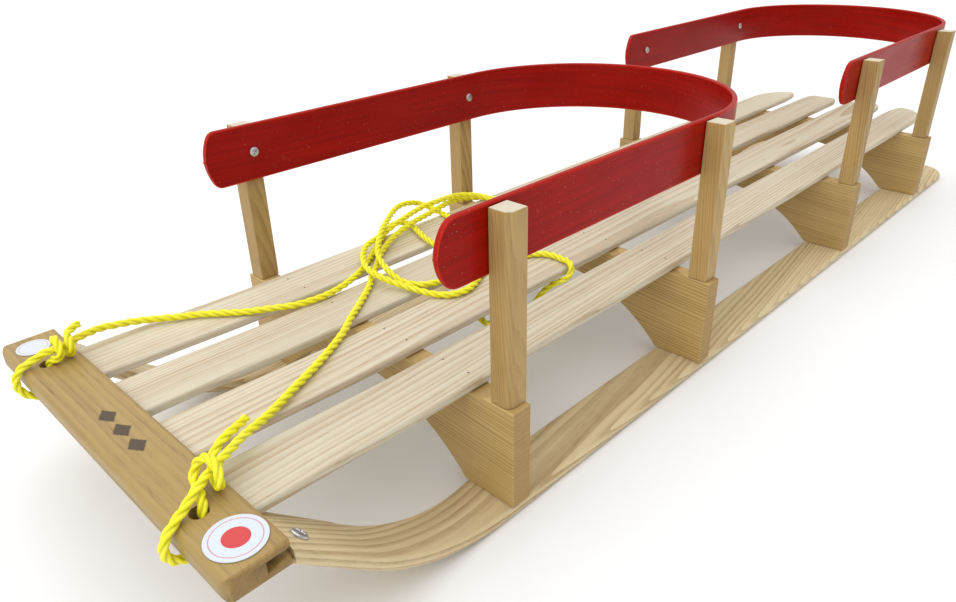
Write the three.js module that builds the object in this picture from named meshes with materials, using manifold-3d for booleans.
// A wooden two-seat sleigh on two bentwood runners, in millimetres, +Z up.
// The curled front points to -Y and the tails to +Y; a rider's right is +X.
// Heights are above the ground. Lengths along Y are first taken from the front face of the first
// bridge, and the last lines move the whole sleigh so that its box is centred on the origin.

import * as THREE from "three";
import { mergeVertices } from "three/addons/utils/BufferGeometryUtils.js";
import Module from "manifold-3d";

// Driving dimensions

const GAP = 0.3; // clearance between pieces that touch

const RUNNER_THICKNESS = 9.5;
const RUNNER_WIDTH = 50;
const RUNNER_OUTER_X = 175;
const RUNNER_EDGE_RADIUS = 4;
const RUNNER_WAIST = 5; // the inner edge draws in this much where the runner bends
const RUNNER_TAIL_Y = 1091;
const RUNNER_TAIL_ROUND = 42; // how far the rounded outer corner reaches forward
const BEND_START_Y = -5;
const BEND_RADIUS = 190;
const BEND_ANGLE = THREE.MathUtils.degToRad(42);

const BRIDGE_FRONT_Y = [0, 276, 640, 920];
const BRIDGE_HALF_WIDTH = 175;
const BRIDGE_THICKNESS = 19.2;
const BRIDGE_HEIGHT = 87;
const FOOT_WIDTH = 50.8;
const ARCH_RISE = 55.5;

const BRIDGE_BASE_Z = RUNNER_THICKNESS;
const BRIDGE_TOP_Z = BRIDGE_BASE_Z + BRIDGE_HEIGHT;

const SLAT_WIDTH = 53;
const SLAT_THICKNESS = 7.7;
const SLAT_EDGE_RADIUS = 2.6;
const SLAT_OUTER_X = 134;
const SLAT_TAIL_Y = 1062;
const SLAT_RISE = 3; // the slats climb this much from the first bridge to the crossbar
const SLAT_BASE_Z = BRIDGE_TOP_Z + GAP;

const CROSSBAR_HALF_WIDTH = 175;
const CROSSBAR_FRONT_Y = -224;
const CROSSBAR_REAR_Y = -181.5;
const CROSSBAR_BASE_Z = 93.5;
const CROSSBAR_TOP_Z = 112.5;
const CROSSBAR_FRONT_RADIUS = 7;
const CROSSBAR_REAR_RADIUS = 2.5;
const CROSSBAR_CORNER_RADIUS = 9;
const CROSSBAR_END_RADIUS = 3.5;
const GROOVE_DEPTH = 17;
const GROOVE_BASE_Z = SLAT_BASE_Z + SLAT_RISE - GAP;
const GROOVE_TOP_Z = SLAT_BASE_Z + SLAT_RISE + SLAT_THICKNESS + GAP;
const SLAT_FRONT_Y = CROSSBAR_REAR_Y - GROOVE_DEPTH + 1;
const TONGUE_LENGTH = 8; // how far a runner's tip reaches into the groove
const ROPE_HOLE_X = 118;
const ROPE_HOLE_Y = -206;
const ROPE_HOLE_RADIUS = 6;

const POST_SIDE = 18.6;
const POST_OUTER_X = 170.7;
const POST_SETBACK = 0.9; // a post stands this far behind its bridge's front face
const POST_HEIGHT = 150;
const POST_CORNER_RADIUS = 1;
const POST_CHAMFER = 4;
const TENON_RADIUS = 6;
const TENON_LENGTH = 30;

const BAND_THICKNESS = 5;
const BAND_WIDTH = 50.8;
const BAND_TOP_Z = BRIDGE_TOP_Z + 152.3;
const BAND_STRAIGHT_REACH = 298; // the band runs this far behind its seat's front bridge, then turns
const BAND_SCREW_Z = BRIDGE_TOP_Z + 127.3;
// How far each arm reaches ahead of the front bridge, and the radius of its rounded end.
const BAND_ARMS = { left: { reach: 36, endRadius: 45 }, right: { reach: 43, endRadius: 33 } };
// The rear band sits a little high and slightly rolled and pitched on its posts.
const REAR_BAND_LIFT = 3;
const REAR_BAND_ROLL = THREE.MathUtils.degToRad(0.5);
const REAR_BAND_PITCH = THREE.MathUtils.degToRad(0.34);
const BAND_SCREW_Y = 10.5;

const SCREW_HEAD_RADIUS = 4.5;
const SCREW_HEAD_HEIGHT = 2.6;
const SCREW_SHANK_RADIUS = 2;
const SCREW_BITE = 13; // length of the screw inside the post

const BOLT_X = 155;
const BOLT_Y = -167;
const BOLT_HEAD_RADIUS = 6;
const BOLT_HEAD_HEIGHT = 2.6;
const BOLT_SHANK_RADIUS = 2.5;
const NUT_RADIUS = 5.5;
const NUT_HEIGHT = 4;

const FOOT_SCREW_RADIUS = 2.2;
const FOOT_SCREW_HEAD_RADIUS = 4.4;
const FOOT_SCREW_HEAD_HEIGHT = 3;
const FOOT_SCREW_LENGTH = 40;

const LABEL_THICKNESS = 0.5;

const ROPE_RADIUS = 3.1;
const ROPE_SIDES = 8;
const ROPE_STEP = 9;
const HITCH_STEP = 5;
const ROPE_MOST_STEPS = 80;

// Solids: three.js geometry in and out of manifold-3d for the cuts and joins

const wasm = await Module();
wasm.setup();

function solidOf(geometry) {
  const bare = new THREE.BufferGeometry();
  const loose = geometry.index ? geometry.toNonIndexed() : geometry;
  bare.setAttribute("position", loose.getAttribute("position"));
  const merged = mergeVertices(bare, 1e-3);
  return new wasm.Manifold(
    new wasm.Mesh({
      numProp: 3,
      vertProperties: merged.attributes.position.array,
      triVerts: new Uint32Array(merged.index.array),
    }),
  );
}

function geometryOf(solid) {
  const mesh = solid.getMesh();
  const indexed = new THREE.BufferGeometry()
    .setAttribute("position", new THREE.BufferAttribute(mesh.vertProperties, 3))
    .setIndex(new THREE.BufferAttribute(mesh.triVerts, 1));
  const flat = indexed.toNonIndexed();
  flat.computeVertexNormals();
  return flat;
}

function boxBetween(low, high) {
  const size = high.map((value, axis) => value - low[axis]);
  const middle = high.map((value, axis) => (value + low[axis]) / 2);
  return new THREE.BoxGeometry(...size).translate(...middle);
}

// A round bar from one point along a direction, as a closed cylinder or cone.
function barAlong(start, direction, length, startRadius, endRadius = startRadius, sides = 20) {
  const bar = new THREE.CylinderGeometry(endRadius, startRadius, length, sides);
  const up = new THREE.Vector3(0, 1, 0);
  bar.translate(0, length / 2, 0);
  bar.applyQuaternion(new THREE.Quaternion().setFromUnitVectors(up, direction.clone().normalize()));
  return bar.translate(start.x, start.y, start.z);
}

// An outline drawn in X and Z, pushed back along Y from its front face.
function pushedBack(shape, frontY, depth) {
  const plate = new THREE.ExtrudeGeometry(shape, { depth, bevelEnabled: false, curveSegments: 24 });
  return plate.rotateX(Math.PI / 2).translate(0, frontY + depth, 0);
}

// An outline drawn in X and Y, raised along Z from its lower face.
function raised(shape, baseZ, height, curveSegments = 24) {
  const plate = new THREE.ExtrudeGeometry(shape, { depth: height, bevelEnabled: false, curveSegments });
  return plate.translate(0, 0, baseZ);
}

// An outline drawn in Y and Z, pushed across along X between two values.
function pushedAcross(shape, lowX, highX) {
  const depth = highX - lowX;
  const plate = new THREE.ExtrudeGeometry(shape, { depth, bevelEnabled: false, curveSegments: 10 });
  return plate.rotateX(Math.PI / 2).rotateZ(Math.PI / 2).translate(lowX, 0, 0);
}

function roundedRectangle(lowX, lowY, highX, highY, radii) {
  const [lowLow, highLow, highHigh, lowHigh] = radii;
  const shape = new THREE.Shape();
  shape.moveTo(lowX + lowLow, lowY);
  shape.lineTo(highX - highLow, lowY);
  shape.absarc(highX - highLow, lowY + highLow, highLow, -Math.PI / 2, 0);
  shape.lineTo(highX, highY - highHigh);
  shape.absarc(highX - highHigh, highY - highHigh, highHigh, 0, Math.PI / 2);
  shape.lineTo(lowX + lowHigh, highY);
  shape.absarc(lowX + lowHigh, highY - lowHigh, lowHigh, Math.PI / 2, Math.PI);
  shape.lineTo(lowX, lowY + lowLow);
  shape.absarc(lowX + lowLow, lowY + lowLow, lowLow, Math.PI, 1.5 * Math.PI);
  return shape;
}

// Planks: a rounded rectangular section carried along a path in the YZ plane

const CORNER_STEPS = 3;

function plankRing(station, thickness, radius) {
  const { y, z, slope, lowX, highX } = station;
  const round = Math.min(radius, (highX - lowX) / 2 - 0.1);
  const rise = Math.min(radius, thickness / 2 - 0.1);
  const corners = [
    [highX - round, thickness / 2 - rise, 0],
    [lowX + round, thickness / 2 - rise, 1],
    [lowX + round, rise - thickness / 2, 2],
    [highX - round, rise - thickness / 2, 3],
  ];
  const ring = [];
  for (const [centreX, centreHeight, quarter] of corners) {
    for (let step = 0; step <= CORNER_STEPS; step += 1) {
      const angle = ((quarter + step / CORNER_STEPS) * Math.PI) / 2;
      const height = centreHeight + rise * Math.sin(angle);
      const x = centreX + round * Math.cos(angle);
      ring.push(new THREE.Vector3(x, y + height * Math.sin(slope), z + height * Math.cos(slope)));
    }
  }
  return ring;
}

function plank(stations, thickness, radius) {
  const rings = stations.map((station) => plankRing(station, thickness, radius));
  const count = rings[0].length;
  const last = (rings.length - 1) * count;
  const positions = rings.flat().flatMap((point) => [point.x, point.y, point.z]);
  const index = [];
  for (let ring = 0; ring < rings.length - 1; ring += 1) {
    for (let side = 0; side < count; side += 1) {
      const near = ring * count + side;
      const next = ring * count + ((side + 1) % count);
      index.push(near, next, next + count, near, next + count, near + count);
    }
  }
  for (let side = 1; side < count - 1; side += 1) {
    index.push(0, side + 1, side, last, last + side, last + side + 1);
  }
  const geometry = new THREE.BufferGeometry();
  geometry.setAttribute("position", new THREE.Float32BufferAttribute(positions, 3));
  return geometry.setIndex(index);
}

// Stations for a tail whose corners are quarter ellipses of the given widths and reach.
function tailStations(tailY, z, lowX, highX, lowRound, highRound, reach) {
  const steps = 7;
  const stations = [];
  for (let step = 0; step <= steps; step += 1) {
    const angle = ((step / steps) * 0.97 + 0.03) * (Math.PI / 2);
    const inset = 1 - Math.sin(angle);
    stations.push({
      y: tailY - reach * (1 - Math.cos(angle)),
      z,
      slope: 0,
      lowX: lowX + lowRound * inset,
      highX: highX - highRound * inset,
    });
  }
  return stations;
}

// Runners

const RUNNER_INNER_X = RUNNER_OUTER_X - RUNNER_WIDTH;

function runnerStations() {
  const middleZ = RUNNER_THICKNESS / 2;
  const across = { lowX: RUNNER_INNER_X, highX: RUNNER_OUTER_X };
  const stations = tailStations(
    RUNNER_TAIL_Y, middleZ, RUNNER_INNER_X, RUNNER_OUTER_X, 5, 36, RUNNER_TAIL_ROUND,
  );
  const bendSteps = 12;
  for (let step = 0; step <= bendSteps; step += 1) {
    const slope = (BEND_ANGLE * step) / bendSteps;
    const y = BEND_START_Y - BEND_RADIUS * Math.sin(slope);
    const z = middleZ + BEND_RADIUS * (1 - Math.cos(slope));
    const waist = RUNNER_WAIST * Math.sin((Math.PI * step) / bendSteps) ** 0.7;
    stations.push({ y, z, slope, lowX: RUNNER_INNER_X + waist, highX: RUNNER_OUTER_X });
  }
  const bendEnd = stations.at(-1);
  const tipRun = 80;
  stations.push({
    ...across,
    y: bendEnd.y - tipRun * Math.cos(BEND_ANGLE),
    z: bendEnd.z + tipRun * Math.sin(BEND_ANGLE),
    slope: BEND_ANGLE,
  });
  return stations;
}

// The point on the sloping top or bottom face of a runner at the given Y.
function slopePoint(x, y, side) {
  const bendEndY = BEND_START_Y - BEND_RADIUS * Math.sin(BEND_ANGLE);
  const bendEndZ = RUNNER_THICKNESS / 2 + BEND_RADIUS * (1 - Math.cos(BEND_ANGLE));
  const half = (side * RUNNER_THICKNESS) / 2;
  const middleY = y - half * Math.sin(BEND_ANGLE);
  const middleZ = bendEndZ + (bendEndY - middleY) * Math.tan(BEND_ANGLE);
  return new THREE.Vector3(x, y, middleZ + half * Math.cos(BEND_ANGLE));
}

const SLOPE_NORMAL = new THREE.Vector3(0, Math.sin(BEND_ANGLE), Math.cos(BEND_ANGLE));
const RUNNER_MIDDLE_X = RUNNER_OUTER_X - RUNNER_WIDTH / 2;

function footScrewPoint(side, bridge) {
  return new THREE.Vector3(
    side * RUNNER_MIDDLE_X,
    BRIDGE_FRONT_Y[bridge] + BRIDGE_THICKNESS / 2,
    0,
  );
}

// Worked out for the right side and mirrored for the left.
function runner(side) {
  const bent = solidOf(plank(runnerStations(), RUNNER_THICKNESS, RUNNER_EDGE_RADIUS));
  const behindCrossbar = boxBetween([0, CROSSBAR_REAR_Y + GAP, -10], [300, 1200, 300]);
  const tongue = boxBetween(
    [SLAT_OUTER_X + GAP, CROSSBAR_REAR_Y - TONGUE_LENGTH, GROOVE_BASE_Z + GAP],
    [300, CROSSBAR_REAR_Y + 1, GROOVE_TOP_Z - GAP],
  );
  const slatRelief = boxBetween(
    [0, CROSSBAR_REAR_Y - 20, GROOVE_BASE_Z - 1],
    [SLAT_OUTER_X + GAP, CROSSBAR_REAR_Y + 20, 300],
  );
  let solid = bent.intersect(solidOf(behindCrossbar).add(solidOf(tongue)));
  solid = solid.subtract(solidOf(slatRelief));
  const boltTop = slopePoint(BOLT_X, BOLT_Y, 1);
  const boltStart = boltTop.addScaledVector(SLOPE_NORMAL, 5);
  const boltHole = barAlong(boltStart, SLOPE_NORMAL.clone().negate(), 25, BOLT_SHANK_RADIUS + GAP);
  solid = solid.subtract(solidOf(boltHole));
  const up = new THREE.Vector3(0, 0, 1);
  for (let bridge = 0; bridge < BRIDGE_FRONT_Y.length; bridge += 1) {
    const foot = footScrewPoint(1, bridge);
    const shank = barAlong(foot.clone().setZ(-1), up, 20, FOOT_SCREW_RADIUS + GAP);
    const sinkRadius = FOOT_SCREW_HEAD_RADIUS + GAP;
    const sink = barAlong(foot.clone().setZ(-0.2), up, FOOT_SCREW_HEAD_HEIGHT + 1, sinkRadius);
    solid = solid.subtract(solidOf(shank)).subtract(solidOf(sink));
  }
  return side > 0 ? solid : solid.mirror([1, 0, 0]);
}

// Bridges: arched cross boards on edge, one across the runners under each pair of posts

function bridgeOutline() {
  const innerFootX = BRIDGE_HALF_WIDTH - FOOT_WIDTH;
  const base = BRIDGE_BASE_Z + GAP;
  const rise = ARCH_RISE - GAP;
  const radius = (innerFootX ** 2 + rise ** 2) / (2 * rise);
  const reach = Math.asin(innerFootX / radius);
  const centreZ = base + rise - radius;
  const shape = new THREE.Shape();
  shape.moveTo(-BRIDGE_HALF_WIDTH, base);
  shape.lineTo(-BRIDGE_HALF_WIDTH, BRIDGE_TOP_Z);
  shape.lineTo(BRIDGE_HALF_WIDTH, BRIDGE_TOP_Z);
  shape.lineTo(BRIDGE_HALF_WIDTH, base);
  shape.lineTo(innerFootX, base);
  shape.absarc(0, centreZ, radius, Math.PI / 2 - reach, Math.PI / 2 + reach);
  shape.lineTo(-innerFootX, base);
  return shape;
}

function postCentre(side, bridge) {
  return new THREE.Vector3(
    side * (POST_OUTER_X - POST_SIDE / 2),
    BRIDGE_FRONT_Y[bridge] + POST_SETBACK + POST_SIDE / 2,
    BRIDGE_TOP_Z,
  );
}

function bridge(number) {
  let solid = solidOf(pushedBack(bridgeOutline(), BRIDGE_FRONT_Y[number], BRIDGE_THICKNESS));
  const up = new THREE.Vector3(0, 0, 1);
  for (const side of [-1, 1]) {
    const socketFoot = postCentre(side, number).setZ(BRIDGE_TOP_Z - TENON_LENGTH - 1);
    const socket = barAlong(socketFoot, up, TENON_LENGTH + 2, TENON_RADIUS + GAP);
    const pilotStart = footScrewPoint(side, number);
    const pilot = barAlong(pilotStart, up, FOOT_SCREW_LENGTH + 1, FOOT_SCREW_RADIUS + GAP);
    solid = solid.subtract(solidOf(socket)).subtract(solidOf(pilot));
  }
  return solid;
}

// Deck slats

function slatLowX(number) {
  const pitch = (2 * SLAT_OUTER_X - SLAT_WIDTH) / 3;
  return -SLAT_OUTER_X + pitch * number;
}

// The two outer slats have a broad quarter ellipse on their outer tail corner.
function slat(number) {
  const lowX = slatLowX(number);
  const highX = lowX + SLAT_WIDTH;
  const middleZ = SLAT_BASE_Z + SLAT_THICKNESS / 2;
  const lowRound = number === 0 ? 40 : 10;
  const highRound = number === 3 ? 40 : 10;
  const reach = number === 0 || number === 3 ? 66 : 30;
  const stations = tailStations(SLAT_TAIL_Y, middleZ, lowX, highX, lowRound, highRound, reach);
  const climbStart = -20;
  const climbSteps = 5;
  for (let step = 0; step <= climbSteps; step += 1) {
    const share = step / climbSteps;
    const y = climbStart + (CROSSBAR_REAR_Y - climbStart) * share;
    const z = middleZ + SLAT_RISE * share * share * (3 - 2 * share);
    stations.push({ y, z, slope: 0, lowX, highX });
  }
  stations.push({ y: SLAT_FRONT_Y, z: middleZ + SLAT_RISE, slope: 0, lowX, highX });
  return solidOf(plank(stations, SLAT_THICKNESS, SLAT_EDGE_RADIUS));
}

// Crossbar: the flat board that joins the runner tips and the slat fronts

function crossbar() {
  const section = roundedRectangle(
    CROSSBAR_FRONT_Y, CROSSBAR_BASE_Z, CROSSBAR_REAR_Y, CROSSBAR_TOP_Z,
    [CROSSBAR_FRONT_RADIUS, CROSSBAR_REAR_RADIUS, CROSSBAR_REAR_RADIUS, CROSSBAR_FRONT_RADIUS],
  );
  const board = pushedAcross(section, -CROSSBAR_HALF_WIDTH, CROSSBAR_HALF_WIDTH);
  const corner = CROSSBAR_CORNER_RADIUS;
  const plan = roundedRectangle(
    -CROSSBAR_HALF_WIDTH, CROSSBAR_FRONT_Y, CROSSBAR_HALF_WIDTH, CROSSBAR_REAR_Y,
    [corner, corner, corner / 2, corner / 2],
  );
  const groove = boxBetween(
    [-200, CROSSBAR_REAR_Y - GROOVE_DEPTH, GROOVE_BASE_Z],
    [200, CROSSBAR_REAR_Y + 5, GROOVE_TOP_Z],
  );
  const endRadius = CROSSBAR_END_RADIUS;
  const frontView = roundedRectangle(
    -CROSSBAR_HALF_WIDTH, CROSSBAR_BASE_Z, CROSSBAR_HALF_WIDTH, CROSSBAR_TOP_Z,
    [endRadius, endRadius, endRadius, endRadius],
  );
  const rounded = solidOf(raised(plan, CROSSBAR_BASE_Z - 5, 30, 6));
  const ends = solidOf(pushedBack(frontView, CROSSBAR_FRONT_Y - 5, 60));
  let solid = solidOf(board).intersect(rounded).intersect(ends).subtract(solidOf(groove));
  for (const side of [-1, 1]) {
    const foot = new THREE.Vector3(side * ROPE_HOLE_X, ROPE_HOLE_Y, CROSSBAR_BASE_Z - 5);
    const hole = barAlong(foot, new THREE.Vector3(0, 0, 1), 30, ROPE_HOLE_RADIUS, ROPE_HOLE_RADIUS, 24);
    solid = solid.subtract(solidOf(hole));
  }
  return solid;
}

// Posts: square uprights with a round tenon glued into the bridge

function post(side, number) {
  const centre = postCentre(side, number);
  const half = POST_SIDE / 2;
  const corner = POST_CORNER_RADIUS;
  const square = roundedRectangle(-half, -half, half, half, [corner, corner, corner, corner]);
  const shaft = raised(square, GAP, POST_HEIGHT - GAP, 2);
  const tenonFoot = new THREE.Vector3(0, 0, GAP - TENON_LENGTH);
  const tenon = barAlong(tenonFoot, new THREE.Vector3(0, 0, 1), TENON_LENGTH + 1, TENON_RADIUS);
  let solid = solidOf(shaft).add(solidOf(tenon));
  if (side > 0 && number === 0) {
    const cutter = boxBetween([-20, -20, 0], [20, 20, POST_HEIGHT + 5]);
    const reach = Math.SQRT1_2 * (2 * half - POST_CHAMFER) + 20;
    cutter.rotateZ(Math.PI / 4).translate(reach * Math.SQRT1_2, -reach * Math.SQRT1_2, -1);
    solid = solid.subtract(solidOf(cutter));
  }
  const standing = solid.translate([centre.x, centre.y, centre.z]);
  const outward = new THREE.Vector3(side, 0, 0);
  const screwStart = bandScrewPoint(side, number);
  const pilotLength = BAND_THICKNESS + SCREW_BITE + 2;
  const pilot = barAlong(screwStart, outward, pilotLength, SCREW_SHANK_RADIUS + GAP, undefined, 12);
  return standing.subtract(settled(solidOf(pilot), number));
}

// Seat bands: a thin board bent into a U round the back of each seat

const BAND_OUTER_X = POST_OUTER_X - POST_SIDE - 1.5 * GAP;

function bandPlan(frontY, straightEndY) {
  const inner = BAND_OUTER_X - BAND_THICKNESS;
  const shape = new THREE.Shape();
  shape.moveTo(BAND_OUTER_X, frontY);
  shape.lineTo(BAND_OUTER_X, straightEndY);
  shape.absarc(0, straightEndY, BAND_OUTER_X, 0, Math.PI);
  shape.lineTo(-BAND_OUTER_X, frontY);
  shape.lineTo(-inner, frontY);
  shape.lineTo(-inner, straightEndY);
  shape.absarc(0, straightEndY, inner, Math.PI, 0, true);
  shape.lineTo(inner, frontY);
  return shape;
}

// Everything behind an arm's rounded front end, seen from the side.
function bandArm(seatY, side) {
  const { reach, endRadius } = side > 0 ? BAND_ARMS.right : BAND_ARMS.left;
  const base = BAND_TOP_Z - BAND_WIDTH;
  const centreZ = BAND_TOP_Z - BAND_WIDTH / 2;
  const centreY = seatY - reach + endRadius;
  const halfTurn = Math.asin(BAND_WIDTH / 2 / endRadius);
  const backY = seatY + 500;
  const shape = new THREE.Shape();
  shape.moveTo(backY, base);
  shape.lineTo(backY, BAND_TOP_Z);
  shape.absarc(centreY, centreZ, endRadius, Math.PI - halfTurn, Math.PI + halfTurn);
  return side > 0 ? pushedAcross(shape, 0, 200) : pushedAcross(shape, -200, 0);
}

// Tips a piece of the rear seat the way the rear band sits; front pieces stay as they are.
function settled(solid, bridgeNumber) {
  if (bridgeNumber < 2) return solid;
  const pivot = new THREE.Vector3(0, BRIDGE_FRONT_Y[2] + 140, BAND_TOP_Z - BAND_WIDTH / 2);
  const tip = new THREE.Matrix4().makeTranslation(pivot.x, pivot.y, pivot.z + REAR_BAND_LIFT);
  tip.multiply(new THREE.Matrix4().makeRotationX(REAR_BAND_PITCH));
  tip.multiply(new THREE.Matrix4().makeRotationY(REAR_BAND_ROLL));
  tip.multiply(new THREE.Matrix4().makeTranslation(-pivot.x, -pivot.y, -pivot.z));
  return solidOf(geometryOf(solid).applyMatrix4(tip));
}

function seatBand(frontBridge) {
  const seatY = BRIDGE_FRONT_Y[frontBridge];
  const base = BAND_TOP_Z - BAND_WIDTH;
  const plan = bandPlan(seatY - 60, seatY + BAND_STRAIGHT_REACH);
  const bent = solidOf(raised(plan, base, BAND_WIDTH, 32));
  const arms = solidOf(bandArm(seatY, -1)).add(solidOf(bandArm(seatY, 1)));
  let solid = bent.intersect(arms);
  for (const across of [-1, 1]) {
    for (const bridgeNumber of [frontBridge, frontBridge + 1]) {
      const start = bandScrewPoint(across, bridgeNumber).add(new THREE.Vector3(-across * 10, 0, 0));
      const outward = new THREE.Vector3(across, 0, 0);
      const hole = barAlong(start, outward, 30, SCREW_SHANK_RADIUS + GAP, undefined, 12);
      solid = solid.subtract(solidOf(hole));
    }
  }
  return settled(solid, frontBridge);
}

// Fasteners

// The point on the band's inner face that a band screw's head sits on.
function bandScrewPoint(side, number) {
  return new THREE.Vector3(
    side * (BAND_OUTER_X - BAND_THICKNESS),
    BRIDGE_FRONT_Y[number] + BAND_SCREW_Y,
    BAND_SCREW_Z,
  );
}

function turned(profile, sides) {
  const points = profile.map(([radius, height]) => new THREE.Vector2(radius, height));
  return new THREE.LatheGeometry(points, sides);
}

// A geometry drawn along +Y from its own origin, turned to point along a direction.
function aimed(geometry, direction, origin) {
  const turn = new THREE.Quaternion().setFromUnitVectors(new THREE.Vector3(0, 1, 0), direction);
  return geometry.applyQuaternion(turn).translate(origin.x, origin.y, origin.z);
}

function bandScrew(side, number) {
  const shankEnd = GAP + BAND_THICKNESS + GAP + SCREW_BITE;
  const profile = [
    [0, -SCREW_HEAD_HEIGHT],
    [SCREW_HEAD_RADIUS * 0.6, -SCREW_HEAD_HEIGHT * 0.92],
    [SCREW_HEAD_RADIUS * 0.92, -SCREW_HEAD_HEIGHT * 0.6],
    [SCREW_HEAD_RADIUS, -GAP],
    [SCREW_SHANK_RADIUS, -GAP],
    [SCREW_SHANK_RADIUS, shankEnd - 3],
    [0, shankEnd],
  ];
  const outward = new THREE.Vector3(side, 0, 0);
  return settled(solidOf(aimed(turned(profile, 16), outward, bandScrewPoint(side, number))), number);
}

function runnerBolt(side) {
  const length = RUNNER_THICKNESS + 2 * GAP + NUT_HEIGHT + 2;
  const profile = [
    [0, -BOLT_HEAD_HEIGHT],
    [BOLT_HEAD_RADIUS * 0.55, -BOLT_HEAD_HEIGHT * 0.88],
    [BOLT_HEAD_RADIUS * 0.88, -BOLT_HEAD_HEIGHT * 0.5],
    [BOLT_HEAD_RADIUS, -GAP],
    [BOLT_SHANK_RADIUS, -GAP],
    [BOLT_SHANK_RADIUS, length],
    [0, length],
  ];
  const origin = slopePoint(side * BOLT_X, BOLT_Y, 1);
  return solidOf(aimed(turned(profile, 16), SLOPE_NORMAL.clone().negate(), origin));
}

function runnerNut(side) {
  const top = slopePoint(side * BOLT_X, BOLT_Y, 1);
  const origin = top.addScaledVector(SLOPE_NORMAL, -RUNNER_THICKNESS - GAP);
  const downward = SLOPE_NORMAL.clone().negate();
  const hexagon = barAlong(origin, downward, NUT_HEIGHT, NUT_RADIUS, NUT_RADIUS, 6);
  const holeStart = origin.clone().addScaledVector(SLOPE_NORMAL, 1);
  const hole = barAlong(holeStart, downward, NUT_HEIGHT + 2, BOLT_SHANK_RADIUS + GAP);
  return solidOf(hexagon).subtract(solidOf(hole));
}

function footScrew(side, number) {
  const lift = 0.3; // the head is sunk this far above the runner's sole
  const profile = [
    [0, lift],
    [FOOT_SCREW_HEAD_RADIUS, lift],
    [FOOT_SCREW_RADIUS, lift + FOOT_SCREW_HEAD_HEIGHT],
    [FOOT_SCREW_RADIUS, FOOT_SCREW_LENGTH - 5],
    [0, FOOT_SCREW_LENGTH],
  ];
  const up = new THREE.Vector3(0, 0, 1);
  return solidOf(aimed(turned(profile, 12), up, footScrewPoint(side, number)));
}

// Paper labels stuck on the crossbar

function label(x, y, radius) {
  const foot = new THREE.Vector3(x, y, CROSSBAR_TOP_Z + GAP);
  return solidOf(barAlong(foot, new THREE.Vector3(0, 0, 1), LABEL_THICKNESS, radius, radius, 36));
}

// Pull rope: one yellow rope tied through both crossbar holes, its slack gathered in a loose knot
// on the deck. The stretches share their end points and make one line from cut end to cut end.

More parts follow.
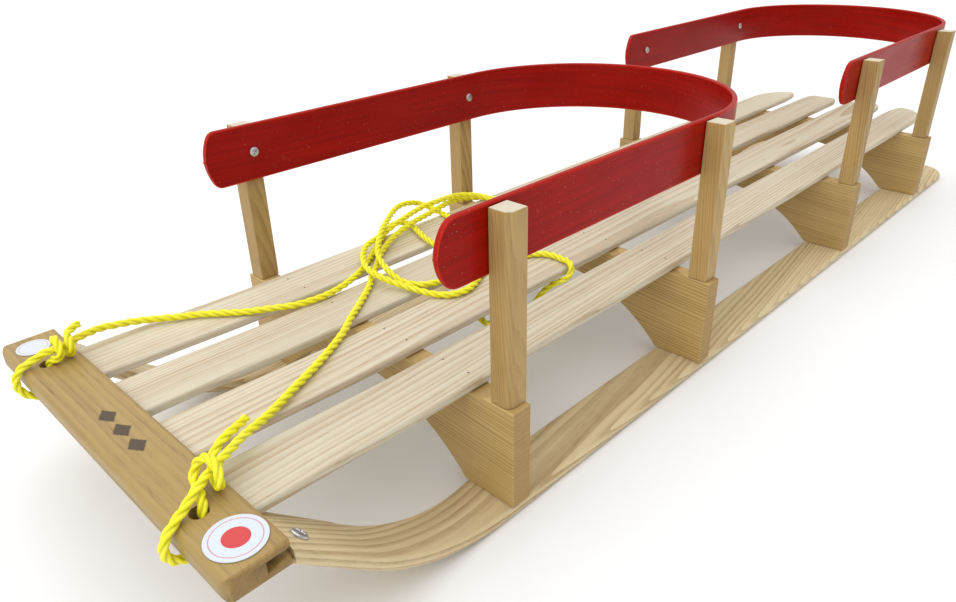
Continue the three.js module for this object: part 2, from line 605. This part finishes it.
const ROPE_STRETCHES = {
  // The cut end, the knot and the turn round the crossbar
  rope_hitch_left: [
    [-129.5, -173.5, 130], [-127.5, -177, 130.2], [-122.5, -183.5, 130.5], [-116.5, -187.3, 130.4],
    [-111, -189, 127.8], [-108.2, -189.4, 121.8], [-112, -189.7, 117.2], [-119.5, -191, 116.4],
    [-125.3, -193.5, 118.5], [-125.2, -195.6, 124.8], [-118.8, -196.3, 129.7], [-112, -196.8, 128],
    [-107.8, -197.8, 122], [-110.6, -200.3, 117.2], [-115.2, -203, 115.6], [-117.7, -205, 110.8],
    [-118, -206, 103], [-118.2, -206.5, 96.5], [-118.4, -209.5, 90.3], [-119.2, -215.5, 87.8],
    [-120.4, -222, 89.7], [-121.5, -227, 94.5], [-122, -229.5, 101], [-122, -228.3, 108.5],
    [-121.1, -222.5, 115], [-120, -214.5, 118.2], [-118.6, -206.5, 121.6], [-116.4, -198, 122.8],
    [-117, -189, 122.8], [-121.5, -179, 122.6], [-126.5, -168.5, 121],
  ],
  // Along the deck, under the crossing, then a flat turn on the inner slats
  rope_leg_left: [
    [-126.5, -168.5, 121], [-130.5, -158, 119], [-130.5, -145, 116.8], [-129.5, -131, 114.3],
    [-125.5, -117, 112], [-119, -102, 110], [-111, -87, 109.3], [-98, -71, 108.8], [-85, -55, 108.4],
    [-74, -36, 108.2], [-65, -20, 108], [-60.5, -3, 108], [-60, 16, 108], [-64, 34, 108],
    [-70, 50, 108], [-78, 66, 108], [-89, 82, 108], [-103, 101, 108], [-119, 122, 108],
    [-132, 140, 108.3], [-139.5, 153, 109.5], [-141.5, 165, 110], [-134, 173, 109],
    [-122, 171.5, 108.2], [-107, 165, 109], [-90, 158.5, 109.2], [-70, 154, 108.2], [-53, 153, 108],
    [-40, 158, 108], [-34.5, 169, 108], [-38, 181, 108], [-49, 190, 108], [-66, 198, 108],
    [-86, 206, 108], [-103, 213, 108],
  ],
  // A bight over the deck edge, over the crossing, then down between slats 2 and 3
  rope_arch: [
    [-103, 213, 108], [-119, 219, 108], [-133, 221, 108.2], [-146, 220, 110.5], [-153, 211, 116],
    [-153, 196, 121.5], [-149, 178, 124.5], [-138, 158, 125.8], [-123, 137, 125.4], [-109, 118, 123.6],
    [-93, 100, 119.9], [-78, 87, 117.4], [-61, 79, 114.5], [-45, 75.5, 110.8], [-30, 75, 108],
    [-17, 78, 108], [-8, 85, 108], [-4, 95.5, 107.6], [-2, 107, 105], [-0.5, 117, 99], [3, 123.5, 91.5],
    [11, 125, 86], [23, 118, 84], [35, 108, 84.5], [46, 100.5, 86], [56, 99.5, 84.5],
  ],
  // Hangs under slat 3, comes back up over its right edge and round to the crossing
  rope_under_slat: [
    [56, 99.5, 84.5], [62.5, 105.5, 81], [65, 117, 77.5], [63.5, 132, 75], [59.5, 147, 74.5],
    [55.5, 161, 76], [53, 174, 81], [54, 184.5, 86.5], [58.5, 192.5, 91], [64.5, 198, 94.8],
    [68.6, 201.8, 100.2], [67.3, 205.2, 106.6], [61, 208.8, 109], [52, 211.5, 108], [41, 212.5, 108],
    [30, 209.5, 108], [21.5, 201, 108], [15, 188, 108], [11.5, 172, 108], [11, 156, 108],
    [13.5, 140, 108], [20, 125.5, 108], [26, 112, 108], [28, 99, 108], [24, 86, 108], [13, 77.5, 108],
    [-1, 73, 108], [-15, 68.5, 109.3], [-29, 62.5, 112.2], [-43, 59, 114.8], [-60, 61, 115.2],
    [-79, 70, 115], [-96, 83, 115], [-108, 98, 115], [-112.5, 111, 115.3],
  ],
  // Out along the left of the deck, a turn, and back under itself
  rope_double_loop: [
    [-112.5, 111, 115.3], [-114.5, 126, 117.8], [-118, 143, 120.8], [-123, 162, 121.8],
    [-129, 181, 121.8], [-133, 199, 121.8], [-133.5, 215, 121.7], [-134, 231, 121.3],
    [-135, 248, 119.8], [-134, 263, 117.3], [-127, 275, 115], [-115, 281, 113.5], [-102, 279, 112],
    [-92, 270, 110], [-86, 256, 108.3], [-81, 243, 108], [-70, 234, 108], [-57, 236, 108],
    [-49, 247, 108], [-48, 262, 108], [-54, 278, 108], [-67, 290, 108], [-84, 297, 108],
    [-101, 298, 108], [-117, 294, 108], [-130, 286, 108.3], [-138.5, 273, 109.5], [-140, 257, 111.5],
    [-136, 240, 113.8], [-131.5, 224, 114.9], [-127.5, 207, 114.9], [-124, 190, 114.8],
    [-119.5, 170, 114.9], [-114.5, 150, 113.8], [-108.5, 131, 111.8], [-99.5, 112, 109.3],
    [-87, 95, 108], [-73, 80, 108], [-60, 64, 108], [-49, 53, 108],
  ],
  // Along the deck to the right of the crossbar
  rope_leg_right: [
    [-49, 53, 108], [-38, 40, 108], [-24, 21, 108], [-9, 0, 108], [5, -18, 108], [17, -37, 108.2],
    [28, -56, 108.6], [38, -75, 109.2], [48, -95, 110], [58, -113, 111.2], [68, -130, 113.5],
    [77, -146, 117], [84, -158, 119.5],
  ],
  // The turn round the crossbar, the knot and the cut end
  rope_hitch_right: [
    [84, -158, 119.5], [91, -168, 121.3], [98, -179, 122.9], [104, -189, 123.6], [109.5, -198, 123.6],
    [113, -205, 122], [116, -212.3, 118.6], [119, -220, 115.8], [121.3, -227.8, 111],
    [121.8, -231, 104], [121.2, -229.5, 96.5], [120.3, -223.5, 90], [119.3, -216, 87.8],
    [118.6, -209.5, 90.3], [118.8, -206.3, 97], [119.9, -205, 104], [118.5, -204.2, 110.4],
    [116, -202.4, 115.5], [110.7, -200.1, 116.3], [101.5, -198.2, 116.3], [94.2, -195.3, 119.8],
    [93.6, -191, 126], [99, -187.8, 130.4], [106.8, -187, 130.2], [113.2, -188.3, 125.8],
    [115, -189.8, 119.8], [109, -188.6, 116.3], [101, -186.6, 116.3], [93, -183.2, 117.6],
    [86, -177.5, 120.8], [81, -168.5, 122.8], [75.3, -157.5, 122], [69.3, -147.8, 120],
    [66, -143, 118.8],
  ],
};

function ropeLine() {
  const stretches = Object.values(ROPE_STRETCHES);
  const points = stretches.flatMap((stretch, number) => (number === 0 ? stretch : stretch.slice(1)));
  const vectors = points.map(([x, y, z]) => new THREE.Vector3(x, y, z));
  return new THREE.CatmullRomCurve3(vectors, false, "centripetal");
}

// The part of a longer curve between two of its own parameters.
class Stretch extends THREE.Curve {
  constructor(line, from, to) {
    super();
    this.line = line;
    this.from = from;
    this.to = to;
    this.arcLengthDivisions = 600;
  }

  getPoint(share, target = new THREE.Vector3()) {
    return this.line.getPoint(this.from + (this.to - this.from) * share, target);
  }
}

// A round tube along the rope between two of its points, half a gap short at either end.
function ropeTube(line, firstPoint, lastPoint, step) {
  const count = line.points.length - 1;
  const startRun = line.points[firstPoint].distanceTo(line.points[firstPoint + 1]);
  const endRun = line.points[lastPoint].distanceTo(line.points[lastPoint - 1]);
  const from = (firstPoint + GAP / 2 / startRun) / count;
  const to = (lastPoint - GAP / 2 / endRun) / count;
  const stretch = new Stretch(line, from, to);
  const steps = Math.min(ROPE_MOST_STEPS, Math.ceil(stretch.getLength() / step));
  const circle = new THREE.Shape().absarc(0, 0, ROPE_RADIUS, 0, 2 * Math.PI);
  const curveSegments = ROPE_SIDES / 2;
  const shape = { steps, extrudePath: stretch, curveSegments, bevelEnabled: false };
  return solidOf(new THREE.ExtrudeGeometry(circle, shape));
}

// Materials

const LOOKS = {
  deck_wood: { color: 0xe2d6bd, roughness: 0.62, metalness: 0 },
  bridge_wood: { color: 0xb89058, roughness: 0.62, metalness: 0 },
  post_wood: { color: 0xb08f5c, roughness: 0.62, metalness: 0 },
  runner_wood: { color: 0xb7a070, roughness: 0.6, metalness: 0 },
  crossbar_wood: { color: 0xba9d66, roughness: 0.55, metalness: 0 },
  red_paint: { color: 0x8e1710, roughness: 0.28, metalness: 0 },
  plated_steel: { color: 0xc4c6c8, roughness: 0.3, metalness: 1 },
  label_paper: { color: 0xe6ecf5, roughness: 0.5, metalness: 0 },
  rope_fibre: { color: 0xd9d21a, roughness: 0.55, metalness: 0 },
};

function named(name, solid, look) {
  const mesh = new THREE.Mesh(geometryOf(solid), new THREE.MeshStandardMaterial(LOOKS[look]));
  mesh.name = name;
  return mesh;
}

// Assembly

const sleigh = new THREE.Group();
const SIDES = [
  ["left", -1],
  ["right", 1],
];

sleigh.add(named("crossbar", crossbar(), "crossbar_wood"));
sleigh.add(named("label_left", label(-151.3, -205, 12.5), "label_paper"));
sleigh.add(named("label_right", label(152, -202, 18), "label_paper"));

for (const [sideName, side] of SIDES) {
  sleigh.add(named(`runner_${sideName}`, runner(side), "runner_wood"));
  sleigh.add(named(`runner_bolt_${sideName}`, runnerBolt(side), "plated_steel"));
  sleigh.add(named(`runner_nut_${sideName}`, runnerNut(side), "plated_steel"));
}

for (let number = 0; number < 4; number += 1) {
  sleigh.add(named(`bridge_${number + 1}`, bridge(number), "bridge_wood"));
  sleigh.add(named(`slat_${number + 1}`, slat(number), "deck_wood"));
  for (const [sideName, side] of SIDES) {
    sleigh.add(named(`post_${number + 1}_${sideName}`, post(side, number), "post_wood"));
    sleigh.add(named(`band_screw_${number + 1}_${sideName}`, bandScrew(side, number), "plated_steel"));
    sleigh.add(named(`foot_screw_${number + 1}_${sideName}`, footScrew(side, number), "plated_steel"));
  }
}

sleigh.add(named("seat_band_front", seatBand(0), "red_paint"));
sleigh.add(named("seat_band_rear", seatBand(2), "red_paint"));

const rope = ropeLine();
let ropePoint = 0;
for (const [name, stretch] of Object.entries(ROPE_STRETCHES)) {
  const lastPoint = ropePoint + stretch.length - 1;
  const step = name.startsWith("rope_hitch") ? HITCH_STEP : ROPE_STEP;
  sleigh.add(named(name, ropeTube(rope, ropePoint, lastPoint, step), "rope_fibre"));
  ropePoint = lastPoint;
}

sleigh.position.y = -(CROSSBAR_FRONT_Y + RUNNER_TAIL_Y) / 2;

const part = new THREE.Group();
part.add(sleigh);
export default part;
